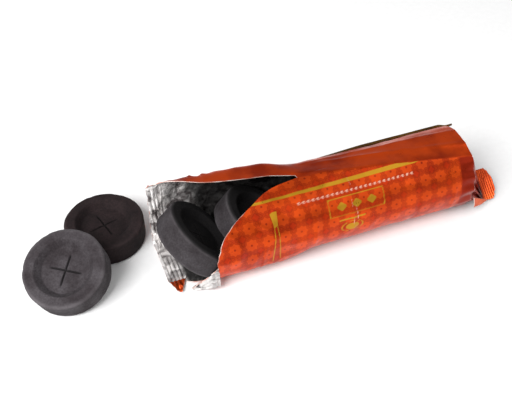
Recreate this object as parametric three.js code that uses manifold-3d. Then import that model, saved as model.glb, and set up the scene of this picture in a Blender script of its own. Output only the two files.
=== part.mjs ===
// A roll of ten quick-lighting charcoal tablets in a foil sleeve that is torn open at one end.
// Millimetres, +Z up. +X runs along the sleeve towards its closed end, +Y is the back, and the
// origin is on the sleeve's flat underside. Eight tablets lie in the sleeve, two beside it.
import * as THREE from 'three';
import { mergeVertices } from 'three/addons/utils/BufferGeometryUtils.js';
import Module from 'manifold-3d';

const wasm = await Module();
wasm.setup();

// ---- Driving dimensions ----
// Tablet: a pressed disc with a shallow dish in one face and a crossed break score in the dish.
const TABLET_D = 40;
const TABLET_T = 13;
const EDGE = 1.2; // chamfer on both rims
const DISH_D = 29;
const DISH_FLOOR_D = 20.5;
const DISH_DEPTH = 3.6;
const SCORE_W = 1.6;
const SCORE_L = 18;
const SCORE_DEPTH = 1;
const TABLET_SIDES = 36;

// Sleeve: one foil sheet, here split at its creases into panels.
const FILM = 0.4; // stands for a thinner laminate
const TABLET_FIT = 0.35; // between tablet rim and film
const GAP = 0.3; // between pieces that touch
const FLAP_GAP = 0.5; // along a fold line that a flap turns on
const BASE_W = 12; // flat strip that the sleeve rests on
const STACKED = 6; // tablets still standing in a row
const EMPTY_L = 11; // free stretch between the row and the fallen tablets
const TORN_END = 72; // from the origin back to where the straight part starts
const MOUTH_L = 20; // film beyond the straight part at the torn end
const SEAL_BAND = 7.5; // crimped band along the torn end
const END_L = 15; // wedge that the film gathers into at the closed end
const END_SEAL_L = 5; // flat crimped strip past the wedge
const END_SEAL_W = 20;
const END_TILT = 35; // the crimped strip's back end stands higher
const END_LOW_Y = -13.5; // its front end
const END_LOW_Z = 1.4;
const END_SLOT = 2.4; // opening that the wedge narrows to
const END_FOLD_GAP = 0.8; // along the fold of the crimped strip, which bends up
const FIN_W = 6; // lengthwise seam, folded flat on the back
const FIN_OVER = 5; // how far it runs on past the row
const TIP_L = 9; // torn corner on the floor of the mouth
const CURL_L = 11; // torn strip hanging on the low end of the tear

// Tear: angles round the section, 0 at the front, 90 at the top, 180 at the back.
const TEAR_L = 49; // how far past the mouth the tear runs along the top
const PEAK_ANGLE = 89;
const CREASE_END_ANGLE = 52;
const TEAR_STEP = 4; // angle between the two lips of the tear at its peak
const FIN_ANGLE = 142;
const BACK_BREAK = 196; // where the mouth band folds from wall to floor

// Tablets that have fallen over: tilt from lying flat, and the heading their upper face turns to.
const TOPPLED_TILT = 44;
const TOPPLED_OUT = 3; // centre beyond the straight part
const LEANING_TILT = 34;
const LEANING_HEADING = -12;
const LEANING_Y = 2;
const SHINGLE_GAP = 3; // between the leaning tablet's rim and the toppled one's face
const LOOSE_GAP = 1.1; // between the torn film and the loose tablet by it
const LOOSE_Y = 33.8;
const LOOSE_BEARING = 229.4; // from the back loose tablet to the front one
const LOOSE_OVERLAP = 3.3; // how far the front one reaches over the back one's rim
const FRONT_HEADING = 235;

// ---- Worked out from them ----
const R = TABLET_D / 2;
const SLEEVE_R = R + TABLET_FIT + FILM;
const FLOOR = FILM + GAP; // lowest point of a tablet lying on the film

const rad = THREE.MathUtils.degToRad;
const deg = THREE.MathUtils.radToDeg;
const mix = THREE.MathUtils.lerp;
const ease = THREE.MathUtils.smoothstep;
const GAP_ANGLE = deg(GAP / SLEEVE_R) * 1.5;

// ---- Where the tablets lie, and how long that makes the sleeve ----

const tabletProfile = [
  [0, -TABLET_T / 2],
  [R - EDGE, -TABLET_T / 2],
  [R, -TABLET_T / 2 + EDGE],
  [R, TABLET_T / 2 - EDGE],
  [R - EDGE, TABLET_T / 2],
  [DISH_D / 2, TABLET_T / 2],
  [DISH_FLOOR_D / 2, TABLET_T / 2 - DISH_DEPTH],
  [0, TABLET_T / 2 - DISH_DEPTH],
].map(([r, z]) => new THREE.Vector2(r, z));

// How far a tablet reaches from its centre in a direction this many degrees off its own axis.
function reach(off) {
  const along = (p) => p.x * Math.sin(rad(off)) + Math.abs(p.y) * Math.cos(rad(off));
  return Math.max(...tabletProfile.map(along));
}

function faceNormal({ tilt, heading }) {
  const out = Math.sin(rad(tilt));
  return new THREE.Vector3(out * Math.cos(rad(heading)), out * Math.sin(rad(heading)), Math.cos(rad(tilt)));
}

// The leaning tablet lies over the toppled one: its rim clears that one's upper face.
const toppled = { y: 0, z: reach(TOPPLED_TILT) + FLOOR, tilt: TOPPLED_TILT, heading: 0 };
const leaning = { y: LEANING_Y, z: reach(LEANING_TILT) + FLOOR, tilt: LEANING_TILT, heading: LEANING_HEADING };
const face = faceNormal(toppled);
const slope = faceNormal(leaning);
const apart = TABLET_T / 2 + SHINGLE_GAP + reach(deg(face.angleTo(slope))) - (leaning.z - toppled.z) * face.z;
const shingle = apart / face.x;
const leaningReach = reach(deg(slope.angleTo(new THREE.Vector3(1, 0, 0))));

const ROW_L = STACKED * (TABLET_T + GAP);
const SLEEVE_L = shingle + leaningReach - TOPPLED_OUT + EMPTY_L + ROW_L;
const X_TORN = -TORN_END;
const X_CLOSED = X_TORN + SLEEVE_L;
const X_MOUTH = X_TORN - MOUTH_L;
const X_BAND = X_MOUTH + SEAL_BAND;
const ROW_X = X_CLOSED - ROW_L;
const PEAK_X = X_TORN + TEAR_L;
toppled.x = X_TORN - TOPPLED_OUT;
leaning.x = toppled.x + shingle;

// Tilt at which the front loose tablet's underside just clears the rim of the one it leans on.
function leanTilt() {
  const rim = (TABLET_D - LOOSE_OVERLAP) * Math.cos(rad(FRONT_HEADING - LOOSE_BEARING)) - (R - EDGE);
  const underside = (tilt) => reach(tilt) - TABLET_T / 2 / Math.cos(rad(tilt)) + rim * Math.tan(rad(tilt));
  let [low, high] = [0, 60];
  while (high - low > 1e-6) {
    const middle = (low + high) / 2;
    if (underside(middle) < TABLET_T + GAP) low = middle;
    else high = middle;
  }
  return high;
}

const looseBack = { x: X_MOUTH - LOOSE_GAP - R, y: LOOSE_Y, z: TABLET_T / 2, tilt: 0, heading: 15 };
const looseFront = {
  x: looseBack.x + (TABLET_D - LOOSE_OVERLAP) * Math.cos(rad(LOOSE_BEARING)),
  y: looseBack.y + (TABLET_D - LOOSE_OVERLAP) * Math.sin(rad(LOOSE_BEARING)),
  z: reach(leanTilt()),
  tilt: leanTilt(),
  heading: FRONT_HEADING,
};

// ---- Materials ----

const charcoal = (shade) => new THREE.MeshStandardMaterial({ color: shade, roughness: 0.92, metalness: 0 });
const print = (shade) => new THREE.MeshStandardMaterial({ color: shade, roughness: 0.3, metalness: 0.35 });
const GREY = 0x403c3e;
const BROWN_BLACK = 0x2d2123;
const ORANGE_RED = 0xc23a10;
const DEEP_RED = 0x9a2408;
const SILVER = 0xb9b6b4;

const roll = new THREE.Group();

function addMesh(name, geometry, material) {
  const mesh = new THREE.Mesh(geometry, material);
  mesh.name = name;
  roll.add(mesh);
  return mesh;
}

// ---- Solids ----

function positionsOnly(geometry) {
  const bare = geometry.clone();
  bare.deleteAttribute('normal');
  bare.deleteAttribute('uv');
  return mergeVertices(bare, 1e-4);
}

function toManifold(geometry) {
  const merged = positionsOnly(geometry);
  const vertProperties = new Float32Array(merged.attributes.position.array);
  const triVerts = new Uint32Array(merged.index.array);
  return new wasm.Manifold(new wasm.Mesh({ numProp: 3, vertProperties, triVerts }));
}

function toGeometry(manifold) {
  const mesh = manifold.getMesh();
  const geometry = new THREE.BufferGeometry();
  geometry.setAttribute('position', new THREE.BufferAttribute(mesh.vertProperties, 3));
  geometry.setIndex(new THREE.BufferAttribute(mesh.triVerts, 1));
  geometry.computeVertexNormals();
  return geometry;
}

// Closed thin solid under the face surface(u, v). side = 1 puts the thickness against du x dv.
function sheet(surface, nu, nv, side = 1, thickness = FILM) {
  const step = 1e-3;
  const along = (f, a, b) => f(Math.min(a + step, 1), b).sub(f(Math.max(a - step, 0), b));
  const positions = [];
  for (const depth of [0, thickness]) {
    for (let j = 0; j <= nv; j++) {
      for (let i = 0; i <= nu; i++) {
        const [u, v] = [i / nu, j / nv];
        const du = along(surface, u, v);
        const dv = along((b, a) => surface(a, b), v, u);
        const normal = du.cross(dv).normalize();
        const point = surface(u, v).addScaledVector(normal, -side * depth);
        positions.push(point.x, point.y, point.z);
      }
    }
  }
  const row = nu + 1;
  const layer = row * (nv + 1);
  const index = [];
  const quad = (a, b, c, d) => index.push(a, b, c, a, c, d);
  for (let j = 0; j < nv; j++) {
    for (let i = 0; i < nu; i++) {
      const a = j * row + i;
      quad(a, a + 1, a + 1 + row, a + row);
      quad(a + layer, a + row + layer, a + 1 + row + layer, a + 1 + layer);
    }
  }
  const rim = [];
  for (let i = 0; i < nu; i++) rim.push(i);
  for (let j = 0; j < nv; j++) rim.push(j * row + nu);
  for (let i = nu; i > 0; i--) rim.push(nv * row + i);
  for (let j = nv; j > 0; j--) rim.push(j * row);
  rim.forEach((a, k) => {
    const b = rim[(k + 1) % rim.length];
    quad(a, a + layer, b + layer, b);
  });
  if (side < 0) for (let k = 0; k < index.length; k += 3) [index[k], index[k + 1]] = [index[k + 1], index[k]];
  const geometry = new THREE.BufferGeometry();
  geometry.setAttribute('position', new THREE.Float32BufferAttribute(positions, 3));
  geometry.setIndex(index);
  geometry.computeVertexNormals();
  return geometry;
}

// ---- Tablets ----

function tabletGeometry() {
  const blank = new THREE.LatheGeometry(tabletProfile, TABLET_SIDES);
  blank.rotateX(Math.PI / 2);
  let solid = toManifold(blank);
  for (const turn of [0, Math.PI / 2]) {
    const cut = new THREE.BoxGeometry(SCORE_L, SCORE_W, 2 * SCORE_DEPTH);
    cut.translate(0, 0, TABLET_T / 2 - DISH_DEPTH);
    cut.rotateZ(turn);
    solid = solid.subtract(toManifold(cut));
  }
  return toGeometry(solid);
}

function placeTablet(name, { x, y, z, heading, tilt }, shade = GREY) {
  const mesh = addMesh(name, tabletGeometry(), charcoal(shade));
  mesh.rotation.set(0, rad(tilt), rad(heading), 'ZYX');
  mesh.position.set(x, y, z);
}

placeTablet('loose_tablet_back', looseBack, BROWN_BLACK);
placeTablet('loose_tablet_front', looseFront);
placeTablet('toppled_tablet', toppled);
placeTablet('leaning_tablet', leaning);
for (let i = 0; i < STACKED; i++) {
  const x = ROW_X + TABLET_T / 2 + i * (TABLET_T + GAP);
  placeTablet(`stacked_tablet_${i + 1}`, { x, y: 0, z: SLEEVE_R, tilt: 90, heading: 0 });
}

// ---- Sleeve sections ----
// Each takes an angle and gives [y, z]; -90 is the front edge of the flat base, 270 its back edge.

const TANGENT = 2 * deg(Math.atan(BASE_W / 2 / SLEEVE_R));

function roundSection(angle) {
  const side = angle > 90 ? 1 : -1;
  const up = Math.min(angle + 90, 270 - angle);
  const at = rad(Math.max(up, TANGENT));
  const [y, z] = [SLEEVE_R * Math.sin(at), SLEEVE_R * (1 - Math.cos(at))];
  const share = Math.min(up / TANGENT, 1);
  return [side * mix(BASE_W / 2, y, share), z * share];
}

// Slack film round the fallen tablets, and the opened end of it: a point every 30 degrees after the
// base, in radii of the round section, so that each outline grows with the tablets it holds.
const slackFront = [[-0.65, 0.01], [-0.96, 0.36], [-1.015, 0.955], [-0.865, 1.5], [-0.5, 1.866], [0, 2]];
const slackBack = [[0.7, 0.01], [1.04, 0.16], [1.135, 0.75], [1.155, 1.37], [0.915, 1.95], [0.15, 2.005]];
const endBack = [[0.72, 0], [0.985, 0.045], [1.04, 0.72], [1.06, 1.4], [0.97, 1.975], [0.34, 2.015]];

function outline(side, points) {
  const scaled = points.map(([y, z]) => new THREE.Vector3(0, y * SLEEVE_R, z * SLEEVE_R));
  return new THREE.CatmullRomCurve3([new THREE.Vector3(0, (side * BASE_W) / 2, 0), ...scaled]);
}
const frontSlackCurve = outline(-1, slackFront);
const backSlackCurve = outline(1, slackBack);
const backEndCurve = outline(1, endBack);

function sectionOf(curve, angle) {
  const up = angle > 90 ? 270 - angle : angle + 90;
  const point = curve.getPoint(THREE.MathUtils.clamp(up / 180, 0, 1));
  return [point.y, Math.max(point.z, 0)];
}

const SLACK_LOW = 26; // how far before the row the film is fully slack, low down and at the top
const SLACK_HIGH = 58;

// Outer face of the film at x and angle: round on the row of tablets, slack towards the mouth.
function film(x, angle) {
  const high = ease(angle, 100, 150) * (1 - ease(angle, 150, 200));
  const slackLow = 1 - ease(x, ROW_X - SLACK_LOW, ROW_X - 2);
  const slackHigh = 1 - ease(x, ROW_X - SLACK_HIGH, ROW_X - 6);
  const slack = mix(slackLow, slackHigh, high);
  const opened = angle > 90 ? 1 - ease(x, X_MOUTH, X_MOUTH + 14) : 0;
  const [y0, z0] = roundSection(angle);
  const [y1, z1] = sectionOf(angle > 90 ? backSlackCurve : frontSlackCurve, angle);
  const [y2, z2] = sectionOf(backEndCurve, angle);
  const y = mix(mix(y0, y1, slack), y2, opened);
  const z = mix(mix(z0, z1, slack), z2, opened);
  return new THREE.Vector3(x, y, z);
}

// ---- Tear and creases ----

// Both lips as [share of the way along the tear, angle].
function lip(start, points) {
  const place = ([t, angle]) => new THREE.Vector3(mix(start, PEAK_X, t), angle, 0);
  return new THREE.CatmullRomCurve3(points.map(place));
}

const tearLine = lip(X_TORN, [
  [0.04, -90], [0.02, -40], [0.02, 5], [0.15, 38], [0.43, 63], [0.73, 83], [1, PEAK_ANGLE],
]);
const topLip = lip(X_MOUTH, [[0, 128], [0.23, 117], [0.49, 108], [0.75, 101], [1, PEAK_ANGLE + TEAR_STEP]]);

function creaseAngle(x) {
  return mix(PEAK_ANGLE, CREASE_END_ANGLE, (x - PEAK_X) / (X_CLOSED - PEAK_X));
}

// Front edge of the top panel: the lip of the tear, then the crease.
function topEdge(x) {
  if (x >= PEAK_X) return creaseAngle(x) + mix(TEAR_STEP, GAP_ANGLE, ease(x, PEAK_X, PEAK_X + 20));
  let [low, high] = [0, 1];
  for (let i = 0; i < 30; i++) {
    const middle = (low + high) / 2;
    if (topLip.getPoint(middle).x < x) low = middle;
    else high = middle;
  }
  return topLip.getPoint(low).y;
}

// ---- Sleeve panels ----

const base = new THREE.BoxGeometry(X_CLOSED - X_MOUTH - GAP, BASE_W - 2 * GAP, FILM);
base.translate((X_CLOSED - GAP + X_MOUTH) / 2, 0, FILM / 2);
addMesh('sleeve_base', base, print(ORANGE_RED));

const lowest = -90 + deg(GAP / (BASE_W / 2)) / 2;

addMesh('sleeve_front', sheet((u, v) => {
  const tear = tearLine.getPoint(v);
  const closed = mix(lowest, CREASE_END_ANGLE, v);
  return film(mix(tear.x, X_CLOSED - GAP, u), mix(Math.max(tear.y, lowest), closed, u));
}, 20, 16), print(ORANGE_RED));

addMesh('sleeve_top', sheet((u, v) => {
  const x = mix(X_BAND + FLAP_GAP, X_CLOSED - GAP, u);
  return film(x, mix(topEdge(x), FIN_ANGLE - GAP_ANGLE, v));
}, 24, 8), print(ORANGE_RED));

addMesh('sleeve_back', sheet((u, v) => {
  const x = mix(X_BAND + FLAP_GAP, X_CLOSED - GAP, u);
  return film(x, mix(FIN_ANGLE, 180 - lowest, v));
}, 20, 14), print(DEEP_RED));

// Seam fin: a flat strip on the back, folded down from its root along the straight part.
const finRoot = film(X_CLOSED, FIN_ANGLE);
const finDown = new THREE.Vector3(0, Math.sin(rad(FIN_ANGLE)), Math.cos(rad(FIN_ANGLE)));
const finOut = new THREE.Vector3(0, -Math.cos(rad(FIN_ANGLE)), Math.sin(rad(FIN_ANGLE)));
const finShape = new THREE.Shape([
  new THREE.Vector2(ROW_X, 0), new THREE.Vector2(X_CLOSED + FIN_OVER, 0),
  new THREE.Vector2(X_CLOSED + FIN_OVER, FIN_W), new THREE.Vector2(ROW_X, FIN_W),
]);
const fin = new THREE.ExtrudeGeometry(finShape, { depth: 2 * FILM, bevelEnabled: false });
const finFrame = new THREE.Matrix4().makeBasis(new THREE.Vector3(1, 0, 0), finDown, finOut);
finFrame.setPosition(new THREE.Vector3(0, finRoot.y, finRoot.z).addScaledVector(finOut, FLAP_GAP));
fin.applyMatrix4(finFrame);
addMesh('seam_fin', fin, print(DEEP_RED));

// ---- Torn mouth ----

const bandFace = (from, to) => (u, v) => film(mix(X_MOUTH, X_BAND, u), mix(from, to, v));
addMesh('mouth_seal_back', sheet(bandFace(topEdge(X_MOUTH), BACK_BREAK - GAP_ANGLE), 2, 8), print(SILVER));
addMesh('mouth_seal_corner', sheet(bandFace(BACK_BREAK + GAP_ANGLE, 180 - lowest), 2, 6), print(SILVER));

// Flat three-cornered piece of film, its thickness on the side its corners go round anticlockwise.
function triangle(a, b, c, thickness = FILM) {
  const normal = b.clone().sub(a).cross(c.clone().sub(a)).normalize();
  const shape = new THREE.Shape();
  const xAxis = b.clone().sub(a).normalize();
  const yAxis = normal.clone().cross(xAxis);
  const flat = (p) => new THREE.Vector2(p.clone().sub(a).dot(xAxis), p.clone().sub(a).dot(yAxis));
  shape.setFromPoints([a, b, c].map(flat));
  const geometry = new THREE.ExtrudeGeometry(shape, { depth: thickness, bevelEnabled: false });
  geometry.applyMatrix4(new THREE.Matrix4().makeBasis(xAxis, yAxis, normal).setPosition(a));
  return geometry;
}

const tipRoot = -BASE_W / 2 + GAP - FLAP_GAP;
addMesh('mouth_tip', triangle(
  new THREE.Vector3(X_MOUTH, tipRoot, 0),
  new THREE.Vector3(X_MOUTH + 1, tipRoot - TIP_L, 0),
  new THREE.Vector3(X_MOUTH + TIP_L, tipRoot, 0),
), print(ORANGE_RED));

// Curled strip that still hangs on the low front corner of the tear.
const curlRoot = X_TORN - FLAP_GAP;
const curlTop = film(curlRoot, -20);
const curlFoot = film(curlRoot, -58);
const curlEnd = new THREE.Vector3(curlRoot - CURL_L, mix(curlFoot.y, curlTop.y, 0.5), 3);
addMesh('torn_curl', triangle(curlTop, curlEnd, curlFoot), print(SILVER));

// ---- Closed end ----
// The film gathers from the round section into a tilted slot, then a crimped strip.

const END_X = X_CLOSED + END_L;
const alongSeal = new THREE.Vector3(0, Math.cos(rad(END_TILT)), Math.sin(rad(END_TILT)));
const acrossSeal = new THREE.Vector3(0, -Math.sin(rad(END_TILT)), Math.cos(rad(END_TILT)));

// Rim of the slot; angles match the film's, so 0 is the seal's low front end.
function slot(angle) {
  return new THREE.Vector3(END_X, END_LOW_Y, END_LOW_Z)
    .addScaledVector(alongSeal, (END_SEAL_W / 2) * (1 - Math.cos(rad(angle))))
    .addScaledVector(acrossSeal, (END_SLOT / 2) * Math.sin(rad(angle)));
}

function endFace(from, to) {
  return (u, v) => {
    const angle = mix(from, to, v);
    return film(X_CLOSED, angle).lerp(slot(angle), u).setX(mix(X_CLOSED + FILM, END_X, u));
  };
}
const endPanels = [
  ['end_gusset_front', lowest, 40, DEEP_RED],
  ['end_top', 40 + 2 * GAP_ANGLE, 140, ORANGE_RED],
  ['end_gusset_back', 140 + 2 * GAP_ANGLE, 180 - lowest, DEEP_RED],
];
for (const [name, from, to, shade] of endPanels) {
  addMesh(name, sheet(endFace(from, to), 5, 8), print(shade));
}

// Underside: a triangle from the flat base towards the slot, clear of the gussets beside it.
const baseHalf = BASE_W / 2 - 2 * GAP;
const baseStart = new THREE.Vector3(X_CLOSED + GAP, 0, 0);
const baseTip = baseStart.clone().lerp(slot(-90), 0.85);
addMesh('end_base', triangle(
  baseStart.clone().setY(-baseHalf), baseTip, baseStart.clone().setY(baseHalf),
), print(DEEP_RED));

const seal = new THREE.BoxGeometry(END_SEAL_L, END_SEAL_W, 2 * FILM);
seal.rotateX(rad(END_TILT));
const sealMiddle = slot(90).lerp(slot(-90), 0.5);
seal.translate(END_X + END_FOLD_GAP + END_SEAL_L / 2, sealMiddle.y, sealMiddle.z);
addMesh('end_seal', seal, print(ORANGE_RED));

// Loose corner of the gathered film, folded out at the front by the floor.
const cornerOut = SLEEVE_R - 1.45;
addMesh('end_corner_flap', triangle(
  new THREE.Vector3(X_CLOSED + 1.5, -cornerOut, 9),
  new THREE.Vector3(X_CLOSED + 6, -cornerOut + 1.1, FLOOR),
  new THREE.Vector3(END_X, END_LOW_Y - 1.5, 3),
), print(ORANGE_RED));

export default roll;
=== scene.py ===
"""Ten charcoal tablets and the torn foil sleeve that holds eight of them.

Lengths are millimetres until a mesh is written, which is in metres. +X runs along the sleeve to its
closed end and +Y is the back. A place on the film is given by X and by an angle round its section:
-90 is the front edge of the flat base, 0 the front, 90 the top, 180 the back and 270 the back edge
of the base; past 270 the angle crosses the base to its front edge.
"""

import logging
import math
from dataclasses import dataclass, field
from enum import Enum
from typing import Any

import bpy
import numpy as np
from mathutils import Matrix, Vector


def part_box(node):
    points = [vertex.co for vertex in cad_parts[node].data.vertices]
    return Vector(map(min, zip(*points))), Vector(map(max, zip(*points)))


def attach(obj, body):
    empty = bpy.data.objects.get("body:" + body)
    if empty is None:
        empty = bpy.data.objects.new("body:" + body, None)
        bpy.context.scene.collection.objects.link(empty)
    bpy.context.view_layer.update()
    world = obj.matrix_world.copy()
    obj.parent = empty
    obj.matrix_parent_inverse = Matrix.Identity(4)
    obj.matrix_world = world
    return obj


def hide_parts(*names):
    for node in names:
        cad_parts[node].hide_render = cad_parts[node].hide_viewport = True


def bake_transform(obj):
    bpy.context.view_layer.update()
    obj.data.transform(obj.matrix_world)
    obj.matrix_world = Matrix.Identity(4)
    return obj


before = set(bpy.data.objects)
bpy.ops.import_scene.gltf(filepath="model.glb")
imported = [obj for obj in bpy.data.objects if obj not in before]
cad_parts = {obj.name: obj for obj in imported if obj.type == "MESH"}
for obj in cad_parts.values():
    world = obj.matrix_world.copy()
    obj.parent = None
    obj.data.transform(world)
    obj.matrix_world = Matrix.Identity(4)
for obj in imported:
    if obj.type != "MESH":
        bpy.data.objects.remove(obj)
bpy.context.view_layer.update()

log = logging.getLogger("charcoal_roll")

Array = np.ndarray
Material, Object = bpy.types.Material, bpy.types.Object
Tree, Socket = bpy.types.NodeTree, bpy.types.NodeSocket
MM = 0.001
UV_SPAN = 200.0  # millimetres of film across one unit of its UV map
NOISE_TABLE = 64


class Side(Enum):
    """Which material a face of a film piece takes."""

    PRINTED = 0
    BARE = 1
    TORN_EDGE = 2


class Shade(Enum):
    """Which pressing a tablet came from."""

    GREY = "charcoal_grey"
    BROWN = "charcoal_brown"


# ---- Numbers and patterns ----


def linear(code: int) -> tuple[float, float, float, float]:
    """Turns an sRGB hex colour to linear light.

    Args:
        code: colour as 0xRRGGBB.

    Returns:
        Linear red, green, blue and an alpha of one.
    """
    srgb = np.array([(code >> shift & 255) / 255 for shift in (16, 8, 0)])
    rgb = np.where(srgb <= 0.04045, srgb / 12.92, ((srgb + 0.055) / 1.055) ** 2.4)
    return (*rgb.tolist(), 1.0)


def ease(value: Array, low: float, high: float) -> Array:
    """Rises from 0 at low to 1 at high: 3t^2 - 2t^3 of the share t of the way, held at both ends."""
    share = np.clip((np.asarray(value, float) - low) / (high - low), 0, 1)
    return share * share * (3 - 2 * share)


def mix(a: Any, b: Any, share: Any) -> Any:
    """Goes straight from a to b."""
    return a + (b - a) * share


def noise(a: Array, b: Array, cell: float, seed: int) -> Array:
    """Soft bumps over a plane: random heights at the corners of square cells, eased between them.

    Args:
        a: first coordinate.
        b: second coordinate.
        cell: side of a cell, in the same unit.
        seed: which table of heights to use.

    Returns:
        Heights from -1 to 1.
    """
    heights = np.random.default_rng(seed).uniform(-1, 1, (NOISE_TABLE, NOISE_TABLE))
    a, b = np.asarray(a, float) / cell, np.asarray(b, float) / cell
    i, j = np.floor(a).astype(int), np.floor(b).astype(int)
    u, v = ease(a - i, 0, 1), ease(b - j, 0, 1)
    i, j, k, m = i % NOISE_TABLE, j % NOISE_TABLE, (i + 1) % NOISE_TABLE, (j + 1) % NOISE_TABLE
    near = mix(heights[i, j], heights[k, j], u)
    far = mix(heights[i, m], heights[k, m], u)
    return mix(near, far, v)


def creased(a: Array, b: Array, cell: float, seed: int) -> Array:
    """Crumpled foil: soft bumps folded where they cross zero, so smooth dents meet in sharp ridges."""
    return 1 - 2.4 * np.abs(noise(a, b, cell, seed))


def ridge(distance: Array, width: float) -> Array:
    """A pinched fold: exp(-|distance| / width), sharp along its middle line."""
    return np.exp(-np.abs(distance) / width)


def curve_through(points: list[tuple[float, ...]], share: Array) -> Array:
    """Centripetal Catmull-Rom curve through the points, each span taking an equal part of the share.

    Args:
        points: what the curve passes through.
        share: 0 at the first point and 1 at the last.

    Returns:
        Points with the coordinates in the last axis.
    """
    p = np.asarray(points, float)
    p = np.vstack([2 * p[0] - p[1], p, 2 * p[-1] - p[-2]])
    spans = len(points) - 1
    along = np.clip(share, 0, 1) * spans
    k = np.minimum(along.astype(int), spans - 1)
    w = (along - k)[..., None]
    p0, p1, p2, p3 = p[k], p[k + 1], p[k + 2], p[k + 3]
    d0, d1, d2 = (
        np.sqrt(np.linalg.norm(end - start, axis=-1, keepdims=True))
        for start, end in ((p0, p1), (p1, p2), (p2, p3))
    )
    leave = ((p1 - p0) / d0 - (p2 - p0) / (d0 + d1) + (p2 - p1) / d1) * d1
    arrive = ((p2 - p1) / d1 - (p3 - p1) / (d1 + d2) + (p3 - p2) / d2) * d1
    bend = -3 * p1 + 3 * p2 - 2 * leave - arrive
    return p1 + w * (leave + w * (bend + w * (2 * p1 - 2 * p2 + leave + arrive)))


def up_from_base(angle: Array) -> Array:
    """Degrees up from the base, on whichever side of the section the angle is."""
    return np.where(angle > 90, 270 - angle, angle + 90)


def unit_grid(columns: int, rows: int) -> tuple[Array, Array]:
    """Shares from 0 to 1 across the columns and down the rows of a grid."""
    return np.meshgrid(np.linspace(0, 1, columns), np.linspace(0, 1, rows))


def box_distance(x: Array, y: Array, middle: tuple[float, float], size: tuple[float, float]) -> Array:
    """Distance outside an upright rectangle, negative inside it: the larger overshoot of the two."""
    over_x = np.abs(x - middle[0]) - size[0] / 2
    over_y = np.abs(y - middle[1]) - size[1] / 2
    return np.maximum(over_x, over_y)


# ---- Meshes ----


def add_object(name: str, points: Array, faces: Array, materials: list[Material],
               face_material: Array | None = None, uv: Array | None = None,
               sharp_deg: float = 50.0) -> Object:
    """Writes points and faces into a new smooth-shaded object at the origin.

    Args:
        name: object name.
        points: one row of X, Y, Z per vertex, in millimetres.
        faces: one row of four vertex numbers per face; a triangle repeats its last one.
        materials: what the faces choose from.
        face_material: number of each face's material.
        uv: one row of U, V per vertex.
        sharp_deg: edges that bend by more than this stay sharp.

    Returns:
        The object.
    """
    triangles = faces[:, 2] == faces[:, 3]
    sizes = np.where(triangles, 3, 4)
    keep = np.ones(faces.shape, bool)
    keep[triangles, 3] = False
    corners = faces[keep]
    mesh = bpy.data.meshes.new(name)
    mesh.vertices.add(len(points))
    mesh.vertices.foreach_set("co", (points * MM).astype(np.float32).ravel())
    mesh.loops.add(len(corners))
    mesh.loops.foreach_set("vertex_index", corners.astype(np.int32))
    mesh.polygons.add(len(faces))
    mesh.polygons.foreach_set("loop_start", np.concatenate([[0], np.cumsum(sizes)[:-1]]).astype(np.int32))
    if face_material is not None:
        mesh.polygons.foreach_set("material_index", face_material.astype(np.int32))
    for material in materials:
        mesh.materials.append(material)
    if uv is not None:
        layer = mesh.uv_layers.new(name="film")
        layer.data.foreach_set("uv", uv[corners].astype(np.float32).ravel())
    mesh.validate()
    mesh.update()
    mesh.shade_smooth()
    mesh.set_sharp_from_angle(angle=math.radians(sharp_deg))
    made = bpy.data.objects.new(name, mesh)
    bpy.context.scene.collection.objects.link(made)
    return made


def add_attribute(piece: Object, name: str, values: Array) -> None:
    """Keeps one number per vertex for the materials to read."""
    layer = piece.data.attributes.new(name, "FLOAT", "POINT")
    layer.data.foreach_set("value", values.astype(np.float32).ravel())


def film_piece(name: str, outer: Array, thickness: float, materials: list[Material],
               uv: Array | None = None, outer_side: Array | None = None,
               side: float = 1.0) -> Object:
    """Closed thin sheet: an outer grid, the same grid set back along its normals, and a rim.

    The normal at a grid point is the cross product of the differences along the grid's two
    directions, columns by rows.

    Args:
        name: object name.
        outer: grid of points, rows by columns by three, in millimetres.
        thickness: how far the inner grid is set back.
        materials: printed, bare and torn-edge material.
        uv: grid of U, V.
        outer_side: material number of each outer face; printed where it isn't given.
        side: -1 where columns by rows points into the sheet's far side.

    Returns:
        The object.
    """
    rows, columns = outer.shape[:2]
    across, along = np.gradient(outer, axis=0), np.gradient(outer, axis=1)
    normal = np.cross(along, across)
    normal /= np.maximum(np.linalg.norm(normal, axis=-1, keepdims=True), 1e-9)
    inner = outer - normal * thickness * side
    points = np.concatenate([outer.reshape(-1, 3), inner.reshape(-1, 3)])
    layer = rows * columns
    index = np.arange(layer).reshape(rows, columns)
    a, b, c, d = (part.ravel() for part in (index[:-1, :-1], index[:-1, 1:], index[1:, 1:], index[1:, :-1]))
    front = np.stack([a, b, c, d], 1)
    rim = np.concatenate([index[0, :-1], index[:-1, -1], index[-1, :0:-1], index[:0:-1, 0]])
    after = np.roll(rim, -1)
    edge = np.stack([rim, rim + layer, after + layer, after], 1)
    faces = np.concatenate([front, front[:, ::-1] + layer, edge])
    if side < 0:
        faces = faces[:, ::-1]
    if outer_side is None:
        outer_side = np.full(len(front), Side.PRINTED.value)
    chosen = np.concatenate([
        outer_side.ravel(),
        np.full(len(front), Side.BARE.value),
        np.full(len(edge), Side.TORN_EDGE.value),
    ])
    flat_uv = None if uv is None else np.concatenate([uv.reshape(-1, 2)] * 2)
    return add_object(name, points, faces, materials, chosen, flat_uv)


# ---- Finishes ----


def feed(node: bpy.types.Node, inputs: dict[Any, Any]) -> None:
    """Gives a node's inputs, by name or number, a value or the output that feeds them."""
    for key, value in inputs.items():
        if isinstance(value, Socket):
            node.id_data.links.new(value, node.inputs[key])
        else:
            node.inputs[key].default_value = value


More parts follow.
